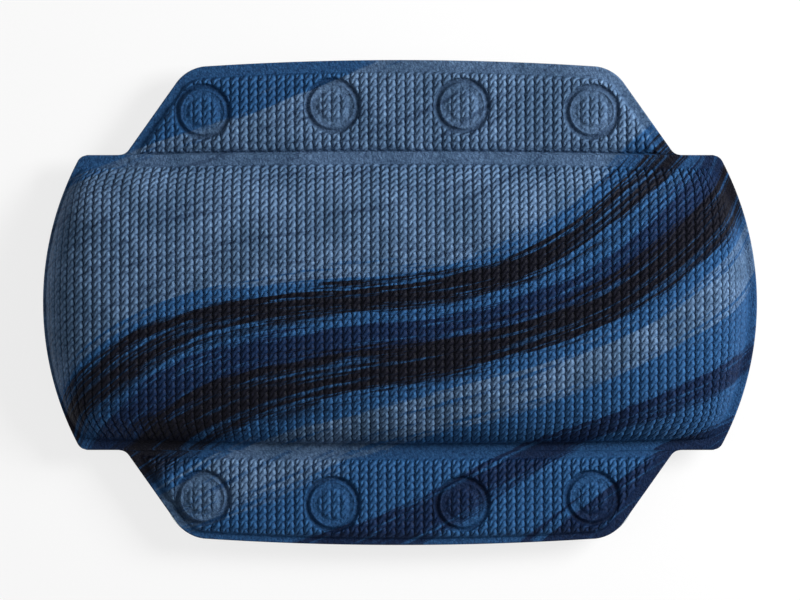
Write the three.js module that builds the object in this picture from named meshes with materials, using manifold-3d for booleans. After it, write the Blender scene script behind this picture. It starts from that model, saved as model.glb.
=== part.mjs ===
// A bath pillow: a foam-filled body, a padded flap along each long edge, and four suction cups under each flap.
// Lengths are in millimetres. X runs along the pillow, Y across it, and Z up out of its printed front.
// The pillow lies on its back: the suction cups and the flat of the back stand on the plane z = 0.

import * as THREE from 'three';
import { mergeVertices } from 'three/addons/utils/BufferGeometryUtils.js';
import Module from 'manifold-3d';

// Outline of the body
const bodyHalfLength = 160;
const endBow = 17;
const earLine = 66.1;
const earCornerRadius = 2.7;

// Outline of a flap, which grows out of the ear line
const earShoulder = 19.8;
const flapDepth = 42.6;
const flapSideLean = THREE.MathUtils.degToRad(35.3);
const flapCornerRadius = 18;
const flapEdgeRadius = 1340;

// The sheets, and how far the welding tool sits from the cutting die along Y
const frontSheet = 1.2;
const backSheet = 1.0;
const weldShift = -1.1;

// Flat welded margins round the padding
const endMargin = 2.2;
const bodySeamMargin = 4;
const flapSeamMargin = 2.2;
const flapRimMargin = 4.1;

// The crown of the body, measured inside its front sheet, and the roundness of its profiles
const crownHeight = 24;
const crownPowerAlong = 10;
const crownPowerAcross = 4;
const crownShoulder = 0.625;
const backFullness = 1.25;

// The padding of a flap
const flapPadHeight = 3.4;
const flapShoulderWidth = 5;
const flapShoulder = 0.7;

// How far inside the crown's edges the foam has its cut sides, and the foam's clearance to the sheets
const foamEndInset = 3.945;
const foamSideInset = 2.484;
const foamClearance = 0.35;

// The hinge line along each seam, where the welded sheets thin out and bend
const hingeGap = 0.3;
const hingeEdge = 0.12;

// A suction cup
const cupRadius = 18;
const cupHeight = 12;
const cupFlangeRadius = 12.5;
const cupFlangeThickness = 1.5;
const cupNeckRadius = 5;
const cupHollowHeight = 5.9;
const cupWall = 1.9;
const cupLipWidth = 1.2;
const cupLipThickness = 0.6;
const cupBellPower = 2.4;

// The row of cups on a flap, and the ring weld that holds each one
const cupsPerFlap = 4;
const outerCupsFromCorner = 8.2974;
const innerCupsFromSeam = 23.1;
const outerCupsFromSeam = 20.4;
const weldRingRadius = 11.7;
const weldRingWidth = 1;
const weldRingBevel = 0.5;
const weldRingDepth = 0.8;

// How finely each surface is divided
const crownCellsAlong = 18;
const crownCellsAcross = 12;
const seamCells = [0.3, 0.6, 0.85, 1];
const flapCornerSteps = 5;
const flapEdgeSteps = 8;
const flapShoulderSteps = [0, 0.12, 0.35, 0.65, 1];
const waddingFirstStep = 2;
const cupSides = 18;
const cupBellSteps = [0.5, 0.75, 0.92];
const weldRingSides = 24;

// What follows from the sizes above
const earHalfLength = bodyHalfLength - endBow;
const flapBaseHalfLength = earHalfLength - earShoulder;
const crownHalfLength = bodyHalfLength - endMargin;
const crownHalfWidth = earLine - bodySeamMargin;
const seamHeight = cupHeight + backSheet;
const backDepth = cupHeight;
const bodyEdge = earLine - hingeGap / 2;
const flapEdge = earLine + hingeGap / 2;

const wasm = await Module();
wasm.setup();

// Shared shapes

// The faces of a grid of points, in rows along +Y and columns along +X.
// The diagonals of the cells run outward from the middle, as the ridges of a crown do.
function cellFaces(rows, columns) {
  const faces = [];
  for (let row = 0; row < rows - 1; row++) {
    for (let column = 0; column < columns - 1; column++) {
      const a = row * columns + column;
      const b = a + 1;
      const c = a + columns + 1;
      const d = a + columns;
      const outward = (row < (rows - 1) / 2) === (column < (columns - 1) / 2);
      faces.push(...(outward ? [a, b, c, a, c, d] : [a, b, d, b, c, d]));
    }
  }
  return faces;
}

// The indices round the edge of a grid, anticlockwise from above
function edgeLoop(rows, columns) {
  const loop = [];
  for (let column = 0; column < columns - 1; column++) loop.push(column);
  for (let row = 0; row < rows - 1; row++) loop.push(row * columns + columns - 1);
  for (let column = columns - 1; column > 0; column--) loop.push((rows - 1) * columns + column);
  for (let row = rows - 1; row > 0; row--) loop.push(row * columns);
  return loop;
}

// A closed solid between an upper and a lower grid of points
function solidBetween(upper, lower) {
  const rows = upper.length;
  const columns = upper[0].length;
  const below = rows * columns;
  const top = cellFaces(rows, columns);
  const faces = [...top, ...top.map((index) => index + below).reverse()];
  const loop = edgeLoop(rows, columns);
  loop.forEach((start, step) => {
    const end = loop[(step + 1) % loop.length];
    faces.push(start + below, end + below, end, start + below, end, start);
  });
  return new THREE.BufferGeometry().setFromPoints([...upper.flat(), ...lower.flat()]).setIndex(faces);
}

// A closed solid through a list of loops with as many points each, anticlockwise from above.
// The first loop is covered on top, the last one underneath, and each is joined to the next.
function solidThrough(loops) {
  const count = loops[0].length;
  const cap = THREE.ShapeUtils.triangulateShape(loops[0].map((point) => new THREE.Vector2(point.x, point.y)), []);
  const last = THREE.ShapeUtils.triangulateShape(loops.at(-1).map((point) => new THREE.Vector2(point.x, point.y)), []);
  const start = (loops.length - 1) * count;
  const faces = [...cap.flat(), ...last.flat().map((index) => index + start).reverse()];
  for (let loop = 0; loop < loops.length - 1; loop++) {
    for (let step = 0; step < count; step++) {
      const next = (step + 1) % count;
      const a = loop * count + step;
      const b = a + count;
      const c = (loop + 1) * count + next;
      const d = loop * count + next;
      faces.push(a, b, c, a, c, d);
    }
  }
  return new THREE.BufferGeometry().setFromPoints(loops.flat()).setIndex(faces);
}

// Each point of a grid moved along the grid's own normal, by a distance worked out at that point
function offsetGrid(grid, distanceAt) {
  const lastRow = grid.length - 1;
  const lastColumn = grid[0].length - 1;
  return grid.map((line, row) => line.map((point, column) => {
    const along = new THREE.Vector3().subVectors(
      line[Math.min(column + 1, lastColumn)], line[Math.max(column - 1, 0)]);
    const across = new THREE.Vector3().subVectors(
      grid[Math.min(row + 1, lastRow)][column], grid[Math.max(row - 1, 0)][column]);
    const normal = along.cross(across).normalize();
    return point.clone().addScaledVector(normal, distanceAt(point));
  }));
}

function toManifold(geometry) {
  const bare = geometry.clone();
  bare.deleteAttribute('normal');
  bare.deleteAttribute('uv');
  const merged = mergeVertices(bare);
  return new wasm.Manifold(new wasm.Mesh({
    numProp: 3,
    vertProperties: new Float32Array(merged.attributes.position.array),
    triVerts: new Uint32Array(merged.index.array),
  }));
}

function fromManifold(solid) {
  const mesh = solid.getMesh();
  const geometry = new THREE.BufferGeometry();
  geometry.setAttribute('position', new THREE.BufferAttribute(mesh.vertProperties, 3));
  geometry.setIndex(new THREE.BufferAttribute(mesh.triVerts, 1));
  return geometry;
}

// The body

// Half the body's length at a distance y from its middle: a circular bow between the ears
function bowedHalfLength(y) {
  const curvature = 2 * endBow / (endBow ** 2 + earLine ** 2);
  return bodyHalfLength - curvature * y ** 2 / (1 + Math.sqrt(1 - (curvature * y) ** 2));
}

// How far the rounded ear corner draws the outline in
function cornerInset(y) {
  const rise = Math.max(0, Math.abs(y) - (bodyEdge - earCornerRadius));
  return earCornerRadius - Math.sqrt(Math.max(0, earCornerRadius ** 2 - rise ** 2));
}

// Lines over the crown from -1 to 1, closer together towards its edges; the second and the last but one
// are the edges of the foam
function crownLines(cells, foamEdge) {
  const lines = [-1];
  for (let step = 0; step <= cells; step++) {
    lines.push(foamEdge * Math.sin(Math.PI * (step / cells - 0.5)));
  }
  return [...lines, 1];
}

const crownColumns = crownLines(crownCellsAlong, 1 - foamEndInset / crownHalfLength);
const crownRows = crownLines(crownCellsAcross, 1 - foamSideInset / crownHalfWidth);

// Past the crown's lines come the margin's, which count on from 1 to 2
const bodyColumns = [-2, ...crownColumns, 2];
const bodyRows = [
  ...seamCells.map((share) => -1 - share).reverse(),
  ...crownRows,
  ...seamCells.map((share) => 1 + share),
];

function bodyY(across) {
  if (Math.abs(across) <= 1) return weldShift + across * crownHalfWidth;
  const seam = weldShift + Math.sign(across) * crownHalfWidth;
  return seam + (Math.abs(across) - 1) * (Math.sign(across) * bodyEdge - seam);
}

function bodyX(along, y) {
  const outline = bowedHalfLength(y) - cornerInset(y);
  const crownHalf = outline - endMargin;
  if (Math.abs(along) <= 1) return along * crownHalf;
  return Math.sign(along) * (crownHalf + (Math.abs(along) - 1) * endMargin);
}

// The crown's profile: 1 over the middle, falling to 0 in a round shoulder at the edge
function crownProfile(share, power) {
  return Math.max(0, 1 - Math.abs(share) ** power) ** crownShoulder;
}

function crownShare(along, across) {
  return crownProfile(along, crownPowerAlong) * crownProfile(across, crownPowerAcross);
}

function bodyGrid(columns, rows, heightAt) {
  return rows.map((across) => columns.map((along) => {
    const y = bodyY(across);
    return new THREE.Vector3(bodyX(along, y), y, heightAt(crownShare(along, across)));
  }));
}

// The inner faces of the two sheets; the bulge of the back is pressed flat where it lies
const frontInside = (share) => seamHeight + crownHeight * share;
const backInside = (share) => seamHeight - backDepth * Math.min(1, backFullness * share);

// A sheet thins to a fine edge at the hinge line
function bodySheet(thickness) {
  return (point) => Math.min(thickness, hingeEdge + bodyEdge - Math.abs(point.y));
}

function bodyFrontCover() {
  const inside = bodyGrid(bodyColumns, bodyRows, frontInside);
  return solidBetween(offsetGrid(inside, bodySheet(frontSheet)), inside);
}

function bodyBackCover() {
  const inside = bodyGrid(bodyColumns, bodyRows, backInside);
  const thickness = bodySheet(backSheet);
  return solidBetween(inside, offsetGrid(inside, (point) => -thickness(point)));
}

// The foam fills the crown up to the lines where the block has its cut sides
function foamCore() {
  const withoutEdge = (grid) => grid.slice(1, -1).map((line) => line.slice(1, -1));
  const roof = bodyGrid(crownColumns, crownRows, frontInside);
  const floor = bodyGrid(crownColumns, crownRows, backInside);
  const upper = offsetGrid(roof, () => -foamClearance);
  const lower = offsetGrid(floor, () => foamClearance);
  return solidBetween(withoutEdge(upper), withoutEdge(lower));
}

// The flaps. Side is 1 for the top flap and -1 for the bottom one; their plan is drawn for the top one.

const sideDirection = new THREE.Vector2(-Math.sin(flapSideLean), Math.cos(flapSideLean));
const sideNormal = new THREE.Vector2(Math.cos(flapSideLean), Math.sin(flapSideLean));

// The free edge is a shallow arc
function freeEdge(x) {
  return earLine + flapDepth - flapEdgeRadius + Math.sqrt(flapEdgeRadius ** 2 - x ** 2);
}

// Where the slanted side would meet the free edge, found by stepping up the side to the arc
function sharpCorner() {
  const point = new THREE.Vector2(flapBaseHalfLength, earLine);
  for (let step = 0; step < 20; step++) {
    const left = freeEdge(point.x) - point.y;
    point.addScaledVector(sideDirection, left / sideDirection.y);
  }
  return point;
}

// The rounded corner's centre, the direction in which its arc starts, and how far the arc turns
function roundCorner() {
  const sharp = sharpCorner();
  const start = flapSideLean;
  const end = new THREE.Vector2(sharp.x / flapEdgeRadius, 1).angle();
  const back = flapCornerRadius * Math.tan((end - start) / 2);
  const centre = sharp.addScaledVector(sideDirection, -back).addScaledVector(sideNormal, -flapCornerRadius);
  return { centre, start, turn: end - start };
}

const corner = roundCorner();

// The flap's outline drawn in by one distance from its free edges and by another from its hinge edge
function flapLoop(side, edgeInset, hingeInset, height) {
  const footRise = flapEdge + hingeInset - earLine;
  const footX = flapBaseHalfLength - edgeInset / sideNormal.x - footRise * Math.tan(flapSideLean);
  const right = [new THREE.Vector2(footX, flapEdge + hingeInset)];
  for (let step = 0; step <= flapCornerSteps; step++) {
    const angle = corner.start + corner.turn * step / flapCornerSteps;
    right.push(new THREE.Vector2(Math.cos(angle), Math.sin(angle))
      .multiplyScalar(flapCornerRadius - edgeInset).add(corner.centre));
  }
  const reach = right.at(-1).x;
  const edge = [];
  for (let step = 1; step < flapEdgeSteps; step++) {
    const x = reach * (1 - 2 * step / flapEdgeSteps);
    edge.push(new THREE.Vector2(x, freeEdge(x) - edgeInset));
  }
  const left = right.map((point) => new THREE.Vector2(-point.x, point.y)).reverse();
  const loop = [...right, ...edge, ...left].map((point) => new THREE.Vector3(point.x, side * point.y, height));
  return side > 0 ? loop : loop.reverse();
}

// The profile of the padding inside the front sheet: how far in from each margin, and how high
function padProfile() {
  return flapShoulderSteps.map((step) => ({
    inward: flapShoulderWidth * step,
    rise: flapPadHeight * (1 - (1 - step) ** 2) ** flapShoulder,
  }));
}

// The same profile moved outward by a distance square to itself
function offsetProfile(profile, distance) {
  return profile.map((point, index) => {
    const before = profile[Math.max(index - 1, 0)];
    const after = profile[Math.min(index + 1, profile.length - 1)];
    const run = index === profile.length - 1 ? 1 : after.inward - before.inward;
    const climb = index === profile.length - 1 ? 0 : after.rise - before.rise;
    const length = Math.hypot(run, climb);
    return {
      inward: point.inward - distance * climb / length,
      rise: point.rise + distance * run / length,
    };
  });
}

// The margin at the free edge is wider on one flap than on the other, because the weld is shifted
function padLoops(side, profile) {
  const rim = flapRimMargin - side * weldShift;
  return profile.map(({ inward, rise }) =>
    flapLoop(side, rim + inward, flapSeamMargin + inward, seamHeight + rise));
}

function flapSheetLoops(side, thickness, height) {
  const bevel = Math.abs(thickness) - hingeEdge;
  return [
    flapLoop(side, 0, bevel, height + thickness),
    flapLoop(side, 0, 0, height + Math.sign(thickness) * hingeEdge),
    flapLoop(side, 0, 0, height),
  ];
}

// The centres of a flap's ring welds and cups, evenly spaced; the outer pair sits nearer the seam
function cupCentres(side) {
  const cupPitch = 2 * (sharpCorner().x - outerCupsFromCorner) / (cupsPerFlap - 1);
  return Array.from({ length: cupsPerFlap }, (_, index) => {
    const outermost = index === 0 || index === cupsPerFlap - 1;
    const fromSeam = outermost ? outerCupsFromSeam : innerCupsFromSeam;
    const x = (index - (cupsPerFlap - 1) / 2) * cupPitch;
    return new THREE.Vector2(x, side * (earLine + fromSeam) + weldShift);
  });
}

// A ring with sloped walls, standing up from its narrow bottom
function weldRing(bottom) {
  const half = weldRingWidth / 2;
  const height = weldRingDepth * 2;
  const flare = half + weldRingBevel * height / weldRingDepth;
  const profile = [
    new THREE.Vector2(weldRingRadius - half, 0),
    new THREE.Vector2(weldRingRadius + half, 0),
    new THREE.Vector2(weldRingRadius + flare, height),
    new THREE.Vector2(weldRingRadius - flare, height),
    new THREE.Vector2(weldRingRadius - half, 0),
  ];
  return new THREE.LatheGeometry(profile, weldRingSides).rotateX(Math.PI / 2).translate(0, 0, bottom);
}

function flapFrontCover(side) {
  const inside = padLoops(side, padProfile());
  const outside = padLoops(side, offsetProfile(padProfile(), frontSheet));
  const sheet = solidThrough([
    ...outside.toReversed(),
    ...flapSheetLoops(side, frontSheet, seamHeight),
    ...inside,
  ]);
  const padTop = seamHeight + flapPadHeight + frontSheet;
  const ring = weldRing(padTop - weldRingDepth);
  let cover = toManifold(sheet);
  for (const centre of cupCentres(side)) {
    cover = cover.subtract(toManifold(ring.clone().translate(centre.x, centre.y, 0)));
  }
  return fromManifold(cover);
}

function flapBackCover(side) {
  return solidThrough(flapSheetLoops(side, -backSheet, seamHeight).reverse());
}

// A thin layer of foam between the sheets, clear of both
function flapWadding(side) {
  const profile = offsetProfile(padProfile(), -foamClearance).slice(waddingFirstStep);
  const floor = { inward: profile[0].inward, rise: foamClearance };
  return solidThrough(padLoops(side, [floor, ...profile]).reverse());
}

// A suction cup turned about its own axis: flange, neck, and a thin bell with a hollow under it
function suctionCup() {
  const flangeBottom = cupHeight - cupFlangeThickness;
  const hollowRadius = cupRadius - cupLipWidth;
  const bellRise = cupHollowHeight + cupWall - cupLipThickness;
  const bell = (radius) => cupLipThickness + bellRise * (1 - (radius / cupRadius) ** cupBellPower);
  const hollow = (radius) => cupHollowHeight * (1 - (radius / hollowRadius) ** cupBellPower);
  const profile = [
    [0, cupHeight],
    [cupFlangeRadius, cupHeight],
    [cupFlangeRadius, flangeBottom],
    [cupNeckRadius, flangeBottom],
    [cupNeckRadius, bell(cupNeckRadius)],
    ...cupBellSteps.map((step) => [cupRadius * step, bell(cupRadius * step)]),
    [cupRadius, cupLipThickness],
    [cupRadius, 0],
    [hollowRadius, 0],
    ...cupBellSteps.toReversed().map((step) => [hollowRadius * step, hollow(hollowRadius * step)]),
    [0, cupHollowHeight],
  ];
  const points = profile.map(([radius, height]) => new THREE.Vector2(radius, height)).reverse();
  return new THREE.LatheGeometry(points, cupSides).rotateX(Math.PI / 2);
}

// Materials

const printedFoam = new THREE.MeshStandardMaterial({ color: 0x3c587a, roughness: 0.75, metalness: 0 });
const darkBacking = new THREE.MeshStandardMaterial({ color: 0x1d2128, roughness: 0.7, metalness: 0 });
const paleFoam = new THREE.MeshStandardMaterial({ color: 0xe3dfd2, roughness: 0.95, metalness: 0 });
const softClear = new THREE.MeshStandardMaterial({ color: 0xc9d4d8, roughness: 0.2, metalness: 0 });

function piece(name, geometry, material) {
  const mesh = new THREE.Mesh(geometry, material);
  mesh.name = name;
  return mesh;
}

// The pillow

const pillow = new THREE.Group();

pillow.add(
  piece('body_front_cover', bodyFrontCover(), printedFoam),
  piece('body_back_cover', bodyBackCover(), darkBacking),
  piece('body_foam_core', foamCore(), paleFoam),
);

for (const [place, side] of [['top', 1], ['bottom', -1]]) {
  pillow.add(
    piece(`${place}_flap_front_cover`, flapFrontCover(side), printedFoam),
    piece(`${place}_flap_back_cover`, flapBackCover(side), darkBacking),
    piece(`${place}_flap_wadding`, flapWadding(side), paleFoam),
  );
  cupCentres(side).forEach((centre, index) => {
    const cup = piece(`${place}_suction_cup_${index + 1}`, suctionCup(), softClear);
    cup.position.set(centre.x, centre.y, 0);
    pillow.add(cup);
  });
}

export default pillow;
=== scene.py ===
"""A bath pillow for rendering: embossed front, plain back, two folding flaps and eight suction cups."""

import math

import bpy
import numpy as np
from bpy.props import FloatProperty, FloatVectorProperty, IntProperty, PointerProperty
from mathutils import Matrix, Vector


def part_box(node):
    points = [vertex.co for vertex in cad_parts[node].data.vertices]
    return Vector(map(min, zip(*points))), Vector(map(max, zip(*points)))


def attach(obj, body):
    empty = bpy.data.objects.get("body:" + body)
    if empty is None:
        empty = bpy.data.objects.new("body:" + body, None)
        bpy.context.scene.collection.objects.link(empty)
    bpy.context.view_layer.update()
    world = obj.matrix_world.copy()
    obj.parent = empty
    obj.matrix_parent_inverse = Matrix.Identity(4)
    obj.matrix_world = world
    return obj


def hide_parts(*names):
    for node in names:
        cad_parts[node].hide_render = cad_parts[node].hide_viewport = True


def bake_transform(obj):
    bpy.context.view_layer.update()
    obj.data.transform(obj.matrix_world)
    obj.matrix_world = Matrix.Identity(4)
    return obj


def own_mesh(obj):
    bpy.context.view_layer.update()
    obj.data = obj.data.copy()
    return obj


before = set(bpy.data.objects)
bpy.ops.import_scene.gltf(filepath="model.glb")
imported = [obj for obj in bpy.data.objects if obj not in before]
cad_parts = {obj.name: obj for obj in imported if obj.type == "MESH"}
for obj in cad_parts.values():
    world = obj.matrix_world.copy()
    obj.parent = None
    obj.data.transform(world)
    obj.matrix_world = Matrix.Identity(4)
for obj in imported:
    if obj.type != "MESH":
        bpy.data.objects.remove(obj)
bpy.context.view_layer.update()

bl_info = {
    "name": "Bath pillow",
    "version": (1, 0, 0),
    "blender": (4, 5, 0),
    "location": "3D View > Sidebar > Pillow",
    "description": "Builds a foamed bath pillow with rope embossing, folding flaps and suction cups",
    "category": "Add Mesh",
}

SIDES = {"top": 1, "bottom": -1}
ROW_OF_CUPS = 4

# In metres: how far from the middle the columns of the body and of a flap keep step with the ropes, and the
# length over which a rope sinks at its end.
BODY_IN_STEP = 0.128
FLAP_IN_STEP = 0.066
ROPE_END_FADE = 0.0009

# The form of a rope, for its relief and its material: how flat its top is, over which part of its width the
# strands climb, how fast a groove's walls fall off above and below it, and a strand's mean bulge.
DOME_POWER = 0.35
CLIMB_FROM = 0.20
CLIMB_WIDTH = 0.78
WALL_ABOVE = 0.32
WALL_BELOW = 0.46
MEAN_BULGE = 0.6


def box_centre(node):
    """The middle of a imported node's box."""
    low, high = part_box(node)
    return (low + high) / 2


def seam_height():
    """The height at which the front and the back sheet meet: the lowest point of the flap's front."""
    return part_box("top_flap_front_cover")[0].z


def size(name, default, description):
    """A length in metres."""
    return FloatProperty(name=name, description=description, default=default, unit="LENGTH", precision=5)


def share(name, default, description):
    """A plain number."""
    return FloatProperty(name=name, description=description, default=default, precision=4)


def power(name, default, description):
    """A lamp's power in watts."""
    return FloatProperty(name=name, description=description, default=default, unit="POWER")


def spot(name, default, description):
    """A place in metres."""
    return FloatVectorProperty(name=name, description=description, default=default, subtype="TRANSLATION")


def tint(name, red, green, blue, description):
    """A colour, given as it looks on a screen, from 0 to 255."""
    def linear(value):
        value /= 255
        return value / 12.92 if value <= 0.04045 else ((value + 0.055) / 1.055) ** 2.4
    return FloatVectorProperty(
        name=name, description=description, default=(linear(red), linear(green), linear(blue)),
        subtype="COLOR", min=0, max=1)


# Settings

class PillowShape(bpy.types.PropertyGroup):
    """The outline and the padding."""

    half_length: size("Half length", 0.160, "From the middle to the end of the bow")
    end_bow: size("End bow", 0.017, "How far the ends bow out past the ears")
    ear_line: size("Ear line", 0.0661, "From the middle to the ears' straight edge, where the flaps fold")
    ear_corner: size("Ear corner", 0.0027, "Radius of the ear's corner")
    ear_shoulder: size("Ear shoulder", 0.0198, "Width of an ear beside the flap")
    flap_depth: size("Flap depth", 0.0426, "From the fold to the middle of the free edge")
    flap_lean: FloatProperty(
        name="Flap lean", description="Lean of the flap's sides", default=math.radians(35.3), subtype="ANGLE")
    flap_corner: size("Flap corner", 0.018, "Radius of the flap's corner")
    flap_foot: size("Flap foot", 0.0055, "Radius of the hollow at the foot of the flap's side")
    flap_bow_radius: size("Flap bow radius", 1.340, "Radius of the flap's free edge")
    front_sheet: size("Front sheet", 0.0012, "Thickness of the printed sheet")
    back_sheet: size("Back sheet", 0.0010, "Thickness of the backing sheet")
    edge_round: size("Edge round", 0.0006, "Rounding of the cut edge")
    weld_shift: size("Weld shift", -0.0011, "How far the weld sits off the cut outline")
    crown_height: size("Crown height", 0.024, "Rise of the padded body")
    crown_shift: size("Crown shift", -0.00045, "How far the crown sits off the cut outline")
    crown_waist: size("Crown waist", 0.0024, "How far the crown's long sides draw in at its ends")
    crown_along: share("Crown squareness along", 10.0, "Higher values give steeper ends")
    crown_across: share("Crown squareness across", 4.0, "Higher values give steeper long sides")
    crown_shoulder: share("Crown shoulder", 0.625, "Lower values give a rounder shoulder")
    crown_slide: size("Crown slide", -0.0012, "How far the crown sits off the cut outline along X")
    end_margin: size("End margin", 0.0026, "Flat edge past the ends of the padding")
    ear_margin: size("Ear margin", 0.0125, "How much wider that edge is where it meets the ear line")
    seam_margin: size("Seam margin", 0.00345, "Flat band between the padding and the fold")
    back_fullness: share("Back fullness", 1.25, "Above 1 the back is pressed flat over its middle")
    pad_height: size("Flap padding", 0.0034, "Rise of a flap's padding")
    pad_shoulder: size("Flap shoulder", 0.0050, "Width of the rounded edge of a flap's padding")
    fold_shoulder: size("Fold shoulder", 0.0080, "Width of the padding's slope beside the fold")
    fold_margin: size("Fold margin", 0.0027, "Flat band between the fold and a flap's padding")
    fold_waist: size("Fold waist", 0.0013, "How far that band narrows at the ends of the flap")
    rim_margin: size("Rim margin", 0.0040, "Flat rim along a flap's free edge, before the weld shift")
    side_margin: size("Side margin", 0.0040, "Flat rim along a flap's slanted sides")
    bend_width: size("Bend width", 0.0056, "Width of the band that bends at each fold")


class PillowEmboss(bpy.types.PropertyGroup):
    """The rope pattern pressed into the front, and the ring welds."""

    rope_pitch: size("Rope pitch", 0.004128, "Distance between neighbouring ropes")
    rope_start: size("Rope start", -0.00082, "Place of the groove nearest to the middle")
    rope_height: size("Rope height", 0.0012, "Height of a rope above its grooves")
    twist_pitch: size("Twist pitch", 0.00346, "Distance between the strands along a rope")
    twist_lean: share("Twist lean", 0.83, "How many strands a strand climbs across its rope")
    strand_depth: size("Strand depth", 0.00054, "Depth of the groove between two strands")
    cells_per_rope: IntProperty(name="Cells per rope", description="Steps across a rope", default=12, min=4)
    scallop: share("Scallop", 0.11, "How far each strand bulges sideways, as a share of a rope")
    scallop_place: share("Scallop place", 0.66, "Where two strands meet at the rope's edge, in strands")
    rope_end: size("Rope end", 0.0018, "How far a rope's end is rounded off")
    end_fade_start: size("End fade start", 0.0006, "Distance from the body's end where the ropes begin")
    end_fade_width: size("End fade width", 0.0090, "Distance over which they reach their full height")
    end_press: share("End press", 0.38, "How much of their height the ropes keep at the very end")
    end_crowding: size("End crowding", 0.0150, "Distance from the end over which the ropes crowd together")
    ring_slide: size("Ring slide", -0.0012, "How far the ring welds sit off the suction cups along X")
    ring_radius: size("Ring radius", 0.0114, "Radius of the ring weld over a suction cup")
    ring_width: size("Ring width", 0.0012, "Half the width of the ring weld's groove")
    ring_depth: size("Ring depth", 0.0014, "Depth of the ring weld")
    flap_rope_start: size("Flap rope start", 0.00224, "Place of the groove nearest to a flap's middle")


class PillowCup(bpy.types.PropertyGroup):
    """The suction cups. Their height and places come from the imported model."""

    flange_radius: size("Flange radius", 0.0125, "Radius of the flange welded to the flap")
    flange_thickness: size("Flange thickness", 0.0015, "Thickness of that flange")
    weld_radius: size("Weld radius", 0.0117, "Radius of the weld's mark in the flange")
    neck_radius: size("Neck radius", 0.0050, "Radius of the neck between flange and bell")
    radius: size("Bell radius", 0.0180, "Radius of the bell at its lip")
    hollow_height: size("Hollow height", 0.0059, "Depth of the hollow under the bell")
    wall: size("Wall", 0.0019, "Thickness of the bell at its middle")
    lip_width: size("Lip width", 0.0012, "Width of the flat lip")
    lip_thickness: size("Lip thickness", 0.0006, "Thickness of the lip")
    bell_power: share("Bell power", 2.4, "Higher values give a flatter, steeper bell")
    travel: size("Travel", 0.004, "How far the bell flattens when pressed")
    sides: IntProperty(name="Sides", description="Number of steps round a cup", default=96, min=12)


class PillowColours(bpy.types.PropertyGroup):
    """The colours of the print, the back and the cups."""

    pale: tint("Pale slate", 89, 116, 149, "Lightest part of the print")
    mist: tint("Slate", 69, 95, 125, "Cloudy tone within the pale part")
    blue: tint("Blue", 40, 80, 124, "Ribbons and streaks")
    navy: tint("Navy", 19, 37, 68, "Darker ribbons")
    night: tint("Night", 13, 14, 24, "Darkest ribbons")
    # Painted highlight: how much paler the strands' lit lips and right flanks are painted, standing in for
    # the key lamp's light on them.
    highlighted: FloatVectorProperty(
        name="Highlighted", description="How much paler rubbed strands are", default=(1.65, 1.60, 1.50))
    backing: tint("Backing", 33, 36, 43, "The plain back sheet")
    cut_edge: tint("Cut edge", 26, 33, 46, "The sheet where it is cut")
    cup: tint("Cup", 222, 232, 235, "The clear suction cups")


class PillowStudio(bpy.types.PropertyGroup):
    """The camera and the lamps."""

    camera_height: size("Camera height", 3.0, "From the sheet's edge up to the camera")
    picture_width: size("Picture width", 0.3586, "What the picture takes in at the sheet's edge")
    picture_rise: size("Picture centre", 0.00112, "Place of the picture's centre along Y")
    key_power: power("Key power", 17.0, "Power of the lamp at the right")
    key_place: spot("Key place", (0.85, 0.30, 0.62), "Where the lamp at the right stands")
    key_width: size("Key width", 0.45, "Width of the lamp at the right")
    fill_power: power("Fill power", 3.0, "Power of the lamp at the left")
    fill_place: spot("Fill place", (-0.90, 0.15, 1.2), "Where the lamp at the left hangs")
    fill_width: size("Fill width", 1.4, "Width of the lamp at the left")
    room_light: share("Room light", 0.15, "Strength of the light from all round")


# Shared shapes

def ease(value):
    """A smooth step from 0 to 1: three squares less two cubes."""
    value = np.clip(value, 0.0, 1.0)
    return value * value * (3.0 - 2.0 * value)


def hump(value, middle, width):
    """A bell curve: 1 at its middle, and about a third one width away from it."""
    return np.exp(-((value - middle) / width) ** 2)


def even_steps(across, height, spacing):
    """Places across at equal distances along a finely given profile."""
    run = np.concatenate([[0.0], np.cumsum(np.hypot(np.diff(across), np.diff(height)))])
    stations = np.linspace(0.0, run[-1], max(2, int(round(run[-1] / spacing)) + 1))
    return np.interp(stations, run, across)


def grid_normals(points):
    """Unit normals of a grid: the cross product of its two central differences."""
    normals = np.cross(np.gradient(points, axis=1), np.gradient(points, axis=0))
    return normals / np.linalg.norm(normals, axis=2, keepdims=True)


def edge_loop(rows, columns):
    """Indices round the edge of a grid, anticlockwise from above."""
    index = np.arange(rows * columns).reshape(rows, columns)
    return np.concatenate([index[0, :-1], index[:-1, -1], index[-1, :0:-1], index[:0:-1, 0]])


def around(grid):
    """The values round the edge of a grid, in the order of edge_loop."""
    return grid.reshape(-1, *grid.shape[2:])[edge_loop(*grid.shape[:2])]


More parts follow.
